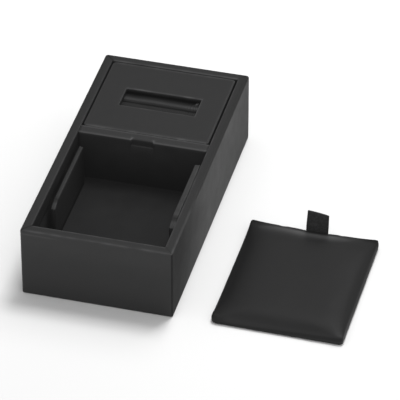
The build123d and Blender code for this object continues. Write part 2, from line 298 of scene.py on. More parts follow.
def wrap_profile():
    """Section of the wrap from its turned-in edge over the rim to the hem, and back along the board."""
    rim_in = arc((RIM_ROUND, RIM_Z - RIM_ROUND), RIM_ROUND, 180, 90, 6)
    rim_out = arc((WALL - RIM_OUTER_ROUND, RIM_Z - RIM_OUTER_ROUND), RIM_OUTER_ROUND, 90, 0, 8)
    hem = arc((WALL - HEM_ROUND, HEM_Z + HEM_ROUND), HEM_ROUND, 0, -90, 4)
    turned_edge = (0.0, RIM_Z - TURN_IN)
    hem_edge = (WALL - HEM_WIDTH, HEM_Z)
    below_ridge = (WALL, RIM_Z - 2 * RIDGE_DROP)
    outside = [turned_edge] + line(turned_edge, rim_in[0], 6) + rim_in
    outside += line(rim_in[-1], rim_out[0], 8) + rim_out
    outside += line(rim_out[-1], below_ridge, 10) + [below_ridge] + line(below_ridge, hem[0], 22)
    outside += hem + line(hem[-1], hem_edge, 5) + [hem_edge]
    inside = [(hem_edge[0], HEM_Z + SKIN), (WALL - SKIN, HEM_Z + SKIN), (WALL - SKIN, RIM_Z - SKIN),
              (SKIN, RIM_Z - SKIN), (SKIN, turned_edge[1])]
    return outside, inside


def soft_noise(point, size, seed):
    """Smooth noise from -1 to 1 whose lumps are about the given size."""
    return noise.noise(point / size + Vector((seed, 1.7 * seed, 0.3 * seed)))


def fade(value, width):
    """Falls from 1 at nought to nearly nothing a little beyond the width."""
    return math.exp(-((value / width) ** 2))


def as_share(value):
    """The value, held between 0 and 1."""
    return min(max(value, 0), 1)


def near_edge(across, down, middle, width=EDGE_HIGHLIGHT_WIDTH):
    """How near a point is to the middle of a rounded edge, from its distances across and down."""
    return fade(math.hypot(across - middle, down - middle), width)


def mitre_share(point):
    """How near a point is to the mitre fold of its corner, from 0 to 1."""
    across = abs((TRAY_HALF_X - abs(point.x)) - (TRAY_HALF_Y - abs(point.y))) / math.sqrt(2)
    return fade(across, MITRE_WIDTH)


def rim_painted_light(point):
    """How strong the painted highlights on the rim's inner and outer edges are beside a point. Below nought
    they are painted shade.
    """
    to_side = TRAY_HALF_X - abs(point.x)
    if TRAY_HALF_Y + point.y < to_side:
        return RIM_EDGE_PAINTED_LIGHT["front"]
    if TRAY_HALF_Y - point.y < to_side:
        return RIM_EDGE_PAINTED_LIGHT["rear"]
    if point.x < 0:
        return RIM_EDGE_PAINTED_LIGHT["left"]
    inner_painted_light, outer_painted_light = RIM_EDGE_PAINTED_LIGHT["right"]
    return inner_painted_light, outer_painted_light + 0.7 * fade(point.y + TRAY_HALF_Y, 60 * MM)


def wrap_painted_light(point, out, drop, ridge, mitre):
    """Painted light on the wrap at a point: highlights at the rim's edges and on the front ridge, a lighter
    front face, and painted shade in the mitres, towards the rear of the side rims and on the right side.
    """
    near_inner = near_edge(out, drop, RIM_EDGE_MIDDLE)
    near_outer = near_edge(WALL - out, drop, RIM_EDGE_MIDDLE, OUTER_HIGHLIGHT_WIDTH)
    inner_painted_light, outer_painted_light = rim_painted_light(point)
    patchy = 0.65 + 0.5 * soft_noise(point, 7 * MM, 31)
    rub_and_painted_light = (inner_painted_light * near_inner + outer_painted_light * near_outer) * patchy + 0.35 * ridge - 1.3 * mitre
    to_front, to_rear = point.y + TRAY_HALF_Y, TRAY_HALF_Y - point.y
    # Painted shade on the outer half of the side rims, deepest at the rear
    if abs(point.x) > WELL_HALF_X and drop < RIM_REACH:
        rub_and_painted_light -= 0.6 * as_share(out / WALL) * fade(to_rear, 110 * MM)
    # Painted light on the front face, more towards the top
    if point.y < -TRAY_HALF_Y + MM and drop > MM:
        rub_and_painted_light += FRONT_PAINTED_LIGHT + FRONT_PAINTED_LIGHT * fade(drop - 6 * MM, 10 * MM)
    # Painted shade on the right side, deepest towards the front, and low down towards the rear
    if point.x > TRAY_HALF_X - MM and drop > MM:
        rub_and_painted_light -= 1.5 * fade(max(0.0, to_front - 6 * MM), 40 * MM)
        rub_and_painted_light -= 0.4 * fade(to_rear, 45 * MM) * as_share(drop / (25 * MM))
    return rub_and_painted_light


def lay_wrap(point, out, z):
    """Moves a point of the wrap as a hand-laid skin lies, and gives its painted light there."""
    drop = RIM_Z - z
    on_rim = max(0.0, 1 - drop / RIM_REACH)
    wave = WAVE_HEIGHT * soft_noise(point, WAVE_SIZE, 3) + RIPPLE_HEIGHT * soft_noise(point, RIPPLE_SIZE, 8)
    mitre = mitre_share(point) * on_rim * (1.0 if point.x < 0 else RIGHT_MITRE)
    ridge = 0.0
    if point.y < -TRAY_HALF_Y + MM and HEM_Z + SKIN < z:
        ridge = fade(drop - RIDGE_DROP, RIDGE_WIDTH) * as_share((RIDGE_END - point.x) / RIDGE_FADE)
    rub_and_painted_light = wrap_painted_light(point, out, drop, ridge, mitre)
    point.z += on_rim * wave - mitre * MITRE_DEPTH
    if HEM_Z + SKIN < z < RIM_Z and out > WALL / 2:
        along = Vector((point.x / STREAK_WIDTH, point.y / STREAK_WIDTH, z / STREAK_LENGTH))
        # The sign of the swell is dropped, so the skin always stands out a little.
        swell = wave + STREAK_HEIGHT * noise.noise(along) + RIDGE_HEIGHT * ridge - WALL_SWELL
        outward = Vector((point.x / TRAY_HALF_X, point.y / TRAY_HALF_Y))
        axis = 0 if abs(outward.x) > abs(outward.y) else 1
        point[axis] += math.copysign(swell, outward[axis])
    return rub_and_painted_light


def wrap_loops():
    """Loops of the wrap from its turned-in edge round to the board's side of it, with their painted light."""
    outside, inside = wrap_profile()
    loops = []
    for row, (out, z) in enumerate(outside + inside):
        corner = INNER_CORNER + (OUTER_CORNER - INNER_CORNER) * as_share(out / WALL)
        loop = rounded_loop(WELL_HALF_X + out, WELL_HALF_Y + out, corner, z)
        loops.append([(point, lay_wrap(point, out, z) if row < len(outside) else 0.0) for point in loop])
    return loops


leatherette = make_leatherette("leatherette", LEATHER_TONE, LEATHER_PATCH,
                               roughness=0.6, pebble=0.55 * MM, depth=0.07 * MM, shine=0.335)
tray_wrap = skin_between("tray_wrap", wrap_loops(), leatherette, joined=True)
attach(tray_wrap, "tray")
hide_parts("outer_wrap")

# Divider skin: leatherette over the cross board, pressed into the notch for the ribbon
# The skin has painted highlights along the board's long edges, faintly on its top and at the
# notch's upper corners, and painted shade in the notch. Below the top the divider is faced with
# the same matt lining as the bays.

DIVIDER_LOW, DIVIDER_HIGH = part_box("divider_wrap")
DIVIDER_ROUND = 0.9 * MM
DIVIDER_EDGE_MIDDLE = 0.26 * MM
DIVIDER_PAINTED_LIGHT = {"front": 0.55, "rear": 1.0, "top": 0.06}
DIVIDER_WAVE, DIVIDER_WAVE_SIZE = 0.05 * MM, 14 * MM
DIVIDER_SINK = 0.03 * MM
NOTCH_HALF = 7.5 * MM
NOTCH_DEPTH = 1.1 * MM
NOTCH_FLOOR = DIVIDER_HIGH.z - 5 * MM
NOTCH_SOFT = 0.3 * MM
NOTCH_CORNER_HIGHLIGHT = 0.6
NOTCH_SHADE = -0.2
LINING_TONE = (0.0120, 0.0120, 0.0122, 1)
LINING_PATCH = (0.0155, 0.0155, 0.0157, 1)
LINING_GRAIN = {"roughness": 0.7, "pebble": 0.45 * MM, "depth": 0.05 * MM, "shine": 0.104}


def divider_section(x):
    """Section of the divider at a place across the tray, with the notch in its front face."""
    cut = NOTCH_DEPTH * as_share((NOTCH_HALF + NOTCH_SOFT - abs(x)) / (2 * NOTCH_SOFT))
    front, rear, top = DIVIDER_LOW.y, DIVIDER_HIGH.y, DIVIDER_HIGH.z
    section = [(front, DIVIDER_LOW.z), (front, NOTCH_FLOOR - 6 * MM), (front, NOTCH_FLOOR - NOTCH_SOFT)]
    section += [(front + min(cut, NOTCH_SOFT), NOTCH_FLOOR), (front + cut, NOTCH_FLOOR + 0.05 * MM)]
    section += [(front + cut, NOTCH_FLOOR + NOTCH_SOFT + 0.1 * MM), (front + cut, NOTCH_FLOOR + 2.5 * MM)]
    front_round = arc((front + cut + DIVIDER_ROUND, top - DIVIDER_ROUND), DIVIDER_ROUND, 180, 90, 5)
    rear_round = arc((rear - DIVIDER_ROUND, top - DIVIDER_ROUND), DIVIDER_ROUND, 90, 0, 5)
    section += front_round + line(front_round[-1], rear_round[0], 6) + rear_round
    return section + line(rear_round[-1], (rear, DIVIDER_LOW.z), 5) + [(rear, DIVIDER_LOW.z)]


def divider_painted_light(x, y, z, on_top):
    """Painted light on the divider at a point: highlights along its long edges, faintly on its top and at the
    notch's upper corners, and painted shade in the notch.
    """
    in_notch = abs(x) < NOTCH_HALF + MM and y < DIVIDER_LOW.y + 2 * MM
    if in_notch and NOTCH_FLOOR - 1.5 * MM < z < DIVIDER_HIGH.z - 1.5 * MM:
        return NOTCH_SHADE
    drop = DIVIDER_HIGH.z - z
    to_edge = min(abs(y - DIVIDER_LOW.y), abs(y - DIVIDER_HIGH.y))
    half = "rear" if y > 0.5 * (DIVIDER_LOW.y + DIVIDER_HIGH.y) else "front"
    rub_and_painted_light = DIVIDER_PAINTED_LIGHT[half] * near_edge(to_edge, drop, DIVIDER_EDGE_MIDDLE) + DIVIDER_PAINTED_LIGHT["top"] * on_top
    if y < DIVIDER_LOW.y + 3 * MM:
        rub_and_painted_light += NOTCH_CORNER_HIGHLIGHT * (fade(abs(x) - NOTCH_HALF, EDGE_HIGHLIGHT_WIDTH) * fade(drop, 1.5 * MM))
    return rub_and_painted_light


def divider_loops():
    """Sections of the divider from wall to wall, close together at the notch's sides, with their painted
    light.
    """
    side = [NOTCH_HALF + NOTCH_SOFT * share for share in (-3, -1.4, -0.7, 0, 0.7, 1.4, 3)]
    places = sorted([x for s in (-1, 1) for x in (s * place for place in side)]
                    + [DIVIDER_HIGH.x * (i / 24 - 1) for i in range(49)])
    loops = []
    for x in places:
        loop = []
        for y, z in divider_section(x):
            on_top = max(0.0, 1 - (DIVIDER_HIGH.z - z) / RIM_REACH)
            point = Vector((x, y, z))
            point.z += on_top * (DIVIDER_WAVE * soft_noise(point, DIVIDER_WAVE_SIZE, 41) - DIVIDER_SINK)
            loop.append((point, divider_painted_light(x, y, z, on_top)))
        loops.append(loop)
    return loops


lining = make_leatherette("lining", LINING_TONE, LINING_PATCH, **LINING_GRAIN)
divider_skin = skin_between("divider_skin", divider_loops(), leatherette,
                            lower_finish=lining, lower_z=DIVIDER_HIGH.z - RIM_REACH)
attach(divider_skin, "tray")
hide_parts("divider_wrap")

# Rail skins: leatherette folded over the two thin boards that carry the pad
# Each skin is lapped on its outer side, the right-hand one more thickly, has painted highlights along its
# soft top, and ends in a small point at the rear. Its upright faces are lining with painted shade, deeper
# towards the rear, and a painted dark line crosses the top where the front ramp ends.

RAIL_RAMP = 7.5 * MM
RAIL_RAMP_DROP = 3 * MM
RAIL_TOP_ROUND = 0.8 * MM
RAIL_LAP = {"left": 0.5 * MM, "right": 1.4 * MM}
RAIL_TOP_HIGHLIGHT = {"ramp": 0.5, "left": 0.15, "right": 0.5}
RAIL_LIFT = 0.35 * MM
RAIL_TUCK, RAIL_TUCK_LENGTH = 0.35 * MM, 0.5 * MM
RAIL_TILT = 0.12 * MM
RAIL_WAVE = 0.07 * MM
RAIL_POINT, RAIL_POINT_LENGTH = 0.5 * MM, 1.1 * MM
RAIL_POINT_WIDTH = 1.2 * MM


def rail_section(near, far, low, high):
    """Section of a rail as (x, z), with a soft top, from its inner face to its outer face."""
    turn = math.copysign(1, far - near)
    outer_end = 0 if turn > 0 else 180
    middle_z = high - RAIL_TOP_ROUND
    inner = arc((near + turn * RAIL_TOP_ROUND, middle_z), RAIL_TOP_ROUND, 180 - outer_end, 90, 5)
    outer = arc((far - turn * RAIL_TOP_ROUND, middle_z), RAIL_TOP_ROUND, 90, outer_end, 5)
    up = line((near, low), inner[0], 8)
    down = line(outer[-1], (far, low), 8)
    return [(near, low)] + up + inner + line(inner[-1], outer[0], 3) + outer + down + [(far, low)]


def rail_places(front, rear):
    """Places of a rail's sections along the tray, close together at its ends and at the ramp's top."""
    ramp_end = front + RAIL_RAMP * 1.5
    places = [front, front + 0.15 * MM, front + 0.5 * MM]
    places += [front + RAIL_RAMP * share for share in (0.3, 0.6, 0.9, 1.0, 1.1, 1.5)]
    places += [ramp_end + (rear - front - RAIL_RAMP * 1.5 - MM) * i / 30 for i in range(1, 31)]
    return places + [rear - 0.5 * MM, rear - 0.15 * MM, rear]


def rail_loops(side, low, high):
    """Sections of a rail from its front end to its rear end, with their painted light."""
    hand = "right" if side > 0 else "left"
    near, far = sorted((low.x, high.x), key=abs)
    far += side * RAIL_LAP[hand]
    loops = []
    for y in rail_places(low.y, high.y):
        to_front, to_rear = y - low.y, high.y - y
        tuck = RAIL_TUCK * max(0.0, 1 - min(to_front, to_rear) / RAIL_TUCK_LENGTH) ** 2
        top = high.z + RAIL_LIFT - tuck - RAIL_RAMP_DROP * max(0.0, 1 - to_front / RAIL_RAMP)
        tilt = RAIL_TILT * soft_noise(Vector((side, y, 0)), 18 * MM, 51)
        # Painted shade: a dark line where the ramp meets the top, and on the upright faces, deeper towards
        # the rear; painted highlights run along the top
        crease = 1.3 * fade(to_front - RAIL_RAMP, 0.8 * MM)
        shade = 0.35 + 0.65 * fade(to_rear, 18 * MM)
        rubbed_and_highlit = RAIL_TOP_HIGHLIGHT["ramp" if y < low.y + RAIL_RAMP - MM else hand]
        loop = []
        for x, z in rail_section(near + side * tuck, far - side * tuck, low.z, top):
            up = as_share((z - low.z) / (high.z - low.z))
            near_top = max(0.0, 1 - (top - z) / MM)
            point = Vector((x, y, z))
            point.x += up * up * tilt
            point.z += near_top * RAIL_WAVE * soft_noise(point, 6 * MM, 57)
            if abs(x - far) < RAIL_POINT_WIDTH:
                point.z += near_top * RAIL_POINT * max(0.0, 1 - to_rear / RAIL_POINT_LENGTH)
            shoulder = min(abs(x - near), abs(x - far))
            rub_and_painted_light = near_top * (0.55 + 0.5 * fade(shoulder - 0.3 * MM, 0.5 * MM))
            rub_and_painted_light *= 0.8 + 0.4 * soft_noise(point, 5 * MM, 61)
            loop.append((point, rub_and_painted_light * rubbed_and_highlit - crease * near_top - shade * (1 - near_top)))
        loops.append(loop)
    return loops


for side, name in ((-1, "left_rail"), (1, "right_rail")):
    sections = rail_loops(side, *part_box(name + "_wrap"))
    rail_skin = skin_between(name + "_skin", sections, leatherette, lower_finish=lining, lower_z=RIM_Z)
    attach(rail_skin, "tray")
    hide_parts(name + "_wrap")

# Linings: strips inside the two bays, and sheets on the raised floor and the rear floor
# Thin matt leatherette, glued flat, with a finer grain than the wrap and less shine. The
# sheets on the floors are a darker copy of it, painted shade for the floors that the lamps light more.

FLOOR_PAINTED_SHADE_TONE = (0.0068, 0.0068, 0.0069, 1)
FLOOR_PAINTED_SHADE_PATCH = (0.0088, 0.0088, 0.0089, 1)

painted_shade_floor_sheet = make_leatherette("painted_shade_floor_sheet", FLOOR_PAINTED_SHADE_TONE, FLOOR_PAINTED_SHADE_PATCH, **LINING_GRAIN)
cover_with(lining, ["front_bay_lining", "rear_bay_lining"])
cover_with(painted_shade_floor_sheet, ["rear_floor_lining", "floor_lining"])

# Felt under the tray and the pad's backing
# A sheet of black needle felt is glued inside the hem under the tray, and a flocked sheet
# of the same look covers the underside of the pad.

FELT_DARK = (0.008, 0.008, 0.008, 1)
FELT_PALE = (0.03, 0.03, 0.031, 1)
FELT_FIBRE = 0.6 * MM
FELT_NAP = 0.15 * MM


def make_felt():
    """Black felt with a mat of short fibres."""
    finish, tree, shader = start_finish("felt", roughness=0.95)
    shader.inputs["Sheen Weight"].default_value = 0.2
    shader.inputs["Sheen Roughness"].default_value = 0.6
    fibres = lumps(tree, object_place(tree), FELT_FIBRE, detail=8.0, distortion=1.5)
    tone = mix_tones(tree, fibres, FELT_DARK, FELT_PALE)
    set_surface(tree, shader, tone, height=fibres, strength=0.8, depth=FELT_NAP)
    return finish


cover_with(make_felt(), ["base_felt", "pad_backing"])

# Ring insert face: leatherette over a board with an oblong window
# The skin is drawn down through the window and over the skirt, so the window's edges
# wander a little and its corners are slightly puckered.

COVER_LOW, COVER_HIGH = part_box("insert_cover")
INSERT_HALF_X = COVER_HIGH.x
INSERT_HALF_Y = (COVER_HIGH.y - COVER_LOW.y) / 2
INSERT_Y = (COVER_HIGH.y + COVER_LOW.y) / 2
INSERT_TOP, INSERT_BOTTOM = COVER_HIGH.z, COVER_LOW.z
INSERT_SIZES = (INSERT_HALF_X, INSERT_HALF_Y, 2.5 * MM)
INSERT_STEPS = (60, 52)
SKIRT_STEPS, FACE_STEPS = 8, 22
FACE_EDGE_ROUND = 0.8 * MM
FACE_EDGE_MIDDLE = 0.26 * FACE_EDGE_ROUND
WINDOW_HALF_X = 26.3 * MM
WINDOW_HALF_Y = 9.8 * MM
WINDOW_SIZES = (WINDOW_HALF_X, WINDOW_HALF_Y, 0.5 * MM)
WINDOW_DEPTH = 2.8 * MM
WINDOW_EDGE_HIGHLIGHT = {"left": 0.2, "elsewhere": 0.8}
WINDOW_PULL = 1.6 * MM
WINDOW_WANDER, WINDOW_WANDER_SIZE = 0.16 * MM, 11 * MM
WINDOW_PUCKER, WINDOW_PUCKER_SIZE = 0.12 * MM, 6 * MM
FACE_WAVE, FACE_WAVE_SIZE = 0.05 * MM, 17 * MM
RIGHT_GAP, RIGHT_GAP_START = 0.4 * MM, 4 * MM


def grown(sizes, out):
    """Half-sizes and corner of an oblong grown by a distance all round."""
    return [size + out for size in sizes]


def insert_profile():
    """Sizes and height of each loop: up the skirt, over the face, down the window and back under."""
    edge_z = INSERT_TOP - FACE_EDGE_ROUND
    rise = edge_z - INSERT_BOTTOM
    profile = [(*INSERT_SIZES, INSERT_BOTTOM + rise * step / SKIRT_STEPS) for step in range(SKIRT_STEPS)]
    profile += [(*grown(INSERT_SIZES, out), z)
                for out, z in arc((-FACE_EDGE_ROUND, edge_z), FACE_EDGE_ROUND, 0, 90, 5)]
    outer, inner = grown(INSERT_SIZES, -FACE_EDGE_ROUND), grown(WINDOW_SIZES, FACE_EDGE_ROUND)
    for step in range(1, FACE_STEPS):
        share = math.sin(math.pi / 2 * step / FACE_STEPS)
        profile.append((*(a + (b - a) * share for a, b in zip(outer, inner)), INSERT_TOP))
    profile += [(*grown(WINDOW_SIZES, out), z)
                for out, z in arc((FACE_EDGE_ROUND, edge_z), FACE_EDGE_ROUND, 90, 180, 5)]
    profile += [(*WINDOW_SIZES, INSERT_TOP - depth) for depth in (0.6 * WINDOW_DEPTH, WINDOW_DEPTH)]
    behind_window = (WINDOW_HALF_X + SKIN, WINDOW_HALF_Y + SKIN, WINDOW_SIZES[2] + SKIN / 2)
    profile += [(*behind_window, INSERT_TOP - depth) for depth in (WINDOW_DEPTH, SKIN)]
    return profile + [(*grown(INSERT_SIZES, -SKIN), z) for z in (INSERT_TOP - SKIN, INSERT_BOTTOM)]


def insert_highlights(point, to_window):
    """Painted highlights on the insert at a point: along the face's outer edge, most at its front and rear
    ends, and round the window's edge, faint on its left.
    """
    to_outside = min(INSERT_HALF_X - abs(point.x), INSERT_HALF_Y - abs(point.y - INSERT_Y))
    drop = INSERT_TOP - point.z
    patchy = 0.7 + 0.5 * soft_noise(point, 6 * MM, 33)
    near_outside = near_edge(to_outside, drop, FACE_EDGE_MIDDLE)
    near_window = near_edge(to_window, drop, FACE_EDGE_MIDDLE)
    end_highlight = 0.7 * fade(abs(point.y - INSERT_Y) - INSERT_HALF_Y, 3 * MM)
    window_highlight = WINDOW_EDGE_HIGHLIGHT["left" if point.x < -WINDOW_HALF_X else "elsewhere"]
    return (0.3 + end_highlight) * near_outside * patchy + window_highlight * near_window * patchy


def lay_face(point):
    """Moves a point of the insert as the drawn skin lies, and gives its painted highlight there."""
    to_window = max(abs(point.x) - WINDOW_HALF_X, abs(point.y - INSERT_Y) - WINDOW_HALF_Y)
    rub_and_painted_light = insert_highlights(point, to_window)
    pull = fade(to_window, WINDOW_PULL)
    point.y += WINDOW_WANDER * pull * soft_noise(point, WINDOW_WANDER_SIZE, 21)
    wave = FACE_WAVE * soft_noise(point, FACE_WAVE_SIZE, 5)
    point.z += wave + WINDOW_PUCKER * pull * soft_noise(point, WINDOW_PUCKER_SIZE, 9)
    point.z = min(point.z, INSERT_TOP)
    right_of_window = point.x - WINDOW_HALF_X - RIGHT_GAP_START
    point.x -= RIGHT_GAP * as_share(right_of_window / (INSERT_HALF_X - WINDOW_HALF_X - RIGHT_GAP_START))
    return rub_and_painted_light


def insert_loops():
    """Loops of the insert's skin with their painted highlights. The last four lie against the board."""
    profile = insert_profile()
    loops = []
    for row, sizes in enumerate(profile):
        loop = rounded_loop(*sizes, INSERT_Y, INSERT_STEPS)
        loops.append([(point, lay_face(point) if row < len(profile) - 4 else 0.0) for point in loop])
    return loops


insert_skin = skin_between("insert_skin", insert_loops(), leatherette, joined=True)
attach(insert_skin, "ring_insert")
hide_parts("insert_cover")

# Ring rolls: two foam bars in thin leatherette, side by side under the window
# They are glued down to the carrier and press together, and rings stand in the slit between
# them. The skin creases towards the right-hand end, and the rear roll has a fold mark there.
# Highlights are painted on the crests, the crease ridges and the fold mark, and shade is painted
# in the slit, further back and over the front roll.

ROLL_LOW, ROLL_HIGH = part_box("rear_roll_cover")
ROLL_HALF_LENGTH = ROLL_HIGH.x
ROLL_WIDTH = ROLL_HIGH.y - ROLL_LOW.y
SLIT_Y = ROLL_LOW.y
ROLL_BOTTOM, ROLL_TOP = ROLL_LOW.z, ROLL_HIGH.z
ROLL_STEPS = 18
ROLL_STATIONS = 150
ROLL_END_ROUND = 2 * MM
ROLL_SAG, ROLL_SAG_SIZE = 0.3 * MM, 13 * MM
ROLL_FALL = 3.4 * MM
SLIT_ROUND = 2.9 * MM
CREASE_START, CREASE_GROWTH = 12 * MM, 8 * MM
CREASE_PITCH = 1.7 * MM
CREASE_DEPTH = 0.14 * MM
FOLD_X, FOLD_BACK = 24 * MM, 10 * MM
FOLD_SLANT = 0.6
FOLD_HEIGHT = 1.5 * MM
FOLD_WIDTH, FOLD_LENGTH = 1.1 * MM, 2.0 * MM
FRONT_ROLL_SHADE = 0.8


def roll_outline(side):
    """Section of a roll as (y, z): flat foot, upright at the slit, and a top that falls away from it."""
    crest_z = ROLL_TOP - 0.1 * MM
    foot = [(0.0, ROLL_BOTTOM), (0.0, crest_z - SLIT_ROUND - 3 * MM)]
    slit = arc((SLIT_ROUND, crest_z - SLIT_ROUND), SLIT_ROUND, 180, 90, 8)
    top = []
    for step in range(1, ROLL_STEPS + 1):
        y = SLIT_ROUND + (ROLL_WIDTH - SLIT_ROUND) * math.sin(math.pi / 2 * (step / ROLL_STEPS))
        fall = ROLL_FALL * ((y - SLIT_ROUND) / (ROLL_WIDTH - SLIT_ROUND)) ** 1.4
        top.append((y, crest_z - fall))
    end = [(ROLL_WIDTH, ROLL_BOTTOM + 2 * MM), (ROLL_WIDTH, ROLL_BOTTOM)]
    outline = foot + slit + top + end + line(end[-1], foot[0], 6)
    return [(SLIT_Y + side * y, z) for y, z in outline]


def roll_loops(side):
    """Sections of a roll from its left end to its right end, drawn in at the ends, with their painted light.
    """
    outline = roll_outline(side)
    middle = Vector((0, SLIT_Y + side * ROLL_WIDTH / 2, ROLL_BOTTOM))
    loops = []
    for station in range(ROLL_STATIONS + 1):
        x = ROLL_HALF_LENGTH * (2 * station / ROLL_STATIONS - 1)
        to_end = as_share((ROLL_HALF_LENGTH - abs(x)) / ROLL_END_ROUND)
        size = max(math.sqrt(1 - (1 - to_end) ** 2), 0.02)
        creased = as_share((x - CREASE_START) / CREASE_GROWTH)
        loop = []
        for y, z in outline:
            point = Vector((x, middle.y + (y - middle.y) * size, middle.z + (z - middle.z) * size))
            height = max(0.0, (z - ROLL_BOTTOM) / (ROLL_TOP - ROLL_BOTTOM))
            crease = creased * math.sin(2 * math.pi * x / CREASE_PITCH + 2.6 * soft_noise(point, 5 * MM, 4))
            sag = ROLL_SAG * soft_noise(point, ROLL_SAG_SIZE, 12 + side) - ROLL_SAG
            fold = fade(x - FOLD_X + FOLD_SLANT * (SLIT_Y + FOLD_BACK - y), FOLD_WIDTH)
            fold *= fade(y - SLIT_Y - FOLD_BACK, FOLD_LENGTH)
            folds = CREASE_DEPTH * (crease - 1) * creased + FOLD_HEIGHT * fold * (side > 0)
            point.z += height * (sag + folds)
            to_slit = abs(y - SLIT_Y)
            # Painted highlights on the crest, the crease ridges and the fold mark; painted shade in the slit,
            # further back, and over the whole front roll
            crest = fade(to_slit - 3.6 * MM, 1.8 * MM) * height**3
            rub_and_painted_light = 0.3 * crest + 0.3 * creased * max(0.0, crease) * crest + 1.1 * fold
            rub_and_painted_light -= 1.6 * fade(to_slit, 1.2 * MM) + 0.15 * fade(to_slit - 12 * MM, 5 * MM)
            loop.append((point, rub_and_painted_light if side > 0 else rub_and_painted_light - FRONT_ROLL_SHADE))
        loops.append(loop)
    return loops


roll_leather = make_leatherette("roll_leather", LEATHER_TONE, LEATHER_PATCH,
                                roughness=0.55, pebble=0.5 * MM, depth=0.05 * MM, shine=0.27)
for side, name in ((-1, "front_roll"), (1, "rear_roll")):
    roll = skin_between(name, roll_loops(side), roll_leather)
    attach(roll, "ring_insert")
    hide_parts(name + "_cover", name + "_core")

# Pad: foam on a board, covered in leatherette drawn round to the back
# The foam rolls off towards the edges, most of all to the left, the corners stand up, and the
# cover is pinched along the front. The pad lies to the right of the tray.

PAD_LOW, PAD_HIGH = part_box("pad_cover")
PAD_TURN = math.radians(-0.6)
PAD_HALF_X, PAD_HALF_Y = 43.9 * MM, 52.3 * MM
PAD_MIDDLE = (PAD_LOW + PAD_HIGH) / 2
PAD_PLACE = Matrix.Translation((PAD_MIDDLE.x, PAD_MIDDLE.y, 0)) @ Matrix.Rotation(PAD_TURN, 4, "Z")
PAD_HEM_Z = 0.4 * MM
PAD_BOARD_TOP = 3 * MM
PAD_CROWN_Z = 8.3 * MM
PAD_CORNER_Z = {"front": 5.9 * MM, "rear": 7.3 * MM}
PAD_EDGE_Z = {"left": 4.4 * MM, "right": 5.0 * MM, "rear": 5.8 * MM, "front": 4.8 * MM}
PAD_ROLL_OFF = {"left": 5, "right": 7, "rear": 7, "front": 8}
PAD_CORNER = 0.7 * MM
PAD_CHAMFER = 3.0 * MM
PAD_STEPS_X, PAD_STEPS_Y = 46, 54
PAD_SIDE_ROWS = 9
PAD_LUMP, PAD_LUMP_SIZE = 0.12 * MM, 19 * MM
TOP_INSET = 0.4 * MM
RIBBON_X = 1.4 * MM
RIBBON_PULL_X, RIBBON_PULL_Y = 11 * MM, 3 * MM
REAR_KINKS = (-22 * MM, 18.7 * MM)
KINK_WIDTH, KINK_REACH, KINK_DEPTH = 1.6 * MM, 2.5 * MM, 0.5 * MM
EDGE_PULL = 4 * MM
HEM_EDGE_Z = 0.12 * MM
HEM_TUCK = 0.3 * MM
FRONT_SPREAD = 0.8 * MM
FRONT_FOLD_LOW, FRONT_FOLD_RISE = 1.9 * MM, 2.2 * MM
FRONT_FOLD_DEPTH = 0.3 * MM
SIDE_BULGE = 0.25 * MM
SIDE_WANDER = 0.15 * MM
PUFF_SCALE = 10
PUFF_LIMIT = 0.6 * MM
PUFF_FRAMES = 20
GLUED_CORNER = 5.5 * MM
PAD_TONE = (0.0016, 0.0016, 0.0017, 1)
PAD_PATCH = (0.0026, 0.0026, 0.0027, 1)


def at_ribbon(x, y):
    """How near a place on the pad is to the ribbon at its rear edge, from 0 to 1."""
    return fade(((x - RIBBON_X) / RIBBON_PULL_X) ** 2, 1) * fade(PAD_HALF_Y - y, RIBBON_PULL_Y)


def rear_kinks(x, to_rear):
    """How near a place is to one of the two small kinks in the cover's rear edge."""
    return sum(fade(x - kink, KINK_WIDTH) for kink in REAR_KINKS) * fade(to_rear, KINK_REACH)


def pad_height(x, y):
    """Height of the pad's top at a place on it, measured from its middle."""
    across, along = ("left" if x < 0 else "right"), ("front" if y < 0 else "rear")
    u, v = x / PAD_HALF_X, y / PAD_HALF_Y
    inward = {"left": PAD_HALF_X + x, "right": PAD_HALF_X - x}
    inward |= {"front": PAD_HALF_Y + y, "rear": PAD_HALF_Y - y}
    pull = {side: math.exp(-reach / EDGE_PULL) for side, reach in inward.items()}
    edge = sum(PAD_EDGE_Z[side] * pull[side] for side in pull) / sum(pull.values())
    edge += (PAD_CORNER_Z[along] - edge) * abs(u * v) ** 4 - MM * at_ribbon(x, y)
    edge -= KINK_DEPTH * rear_kinks(x, PAD_HALF_Y - y)
    swell = (1 - min(abs(u), 1) ** PAD_ROLL_OFF[across]) * (1 - min(abs(v), 1) ** PAD_ROLL_OFF[along])
    return edge + (PAD_CROWN_Z - edge) * swell


def corner_radius(point):
    """Radius of the pad's corner next to a point: the front left one is cut off more."""
    return PAD_CHAMFER if point.x < 0 and point.y < 0 else PAD_CORNER


def corner_middle(point):
    """Middle of the rounding of the pad's corner that a point belongs to."""
    inset = corner_radius(point)
    reach_x, reach_y = PAD_HALF_X - TOP_INSET - inset, PAD_HALF_Y - TOP_INSET - inset
    return Vector((max(-reach_x, min(reach_x, point.x)), max(-reach_y, min(reach_y, point.y)), point.z))


def round_corner(point):
    """Moves a point of an even grid inward where it lies in the rounding of a corner."""
    middle = corner_middle(point)
    away = point - middle
    if away.x and away.y:
        away *= max(abs(away.x), abs(away.y)) / away.length
    return middle + away


def front_fold_z(x):
    """Height of the pinched fold on the pad's front side, low at the left and higher to the right."""
    return FRONT_FOLD_LOW + FRONT_FOLD_RISE * max(0.0, (1 + x / PAD_HALF_X) / 2) ** 1.6


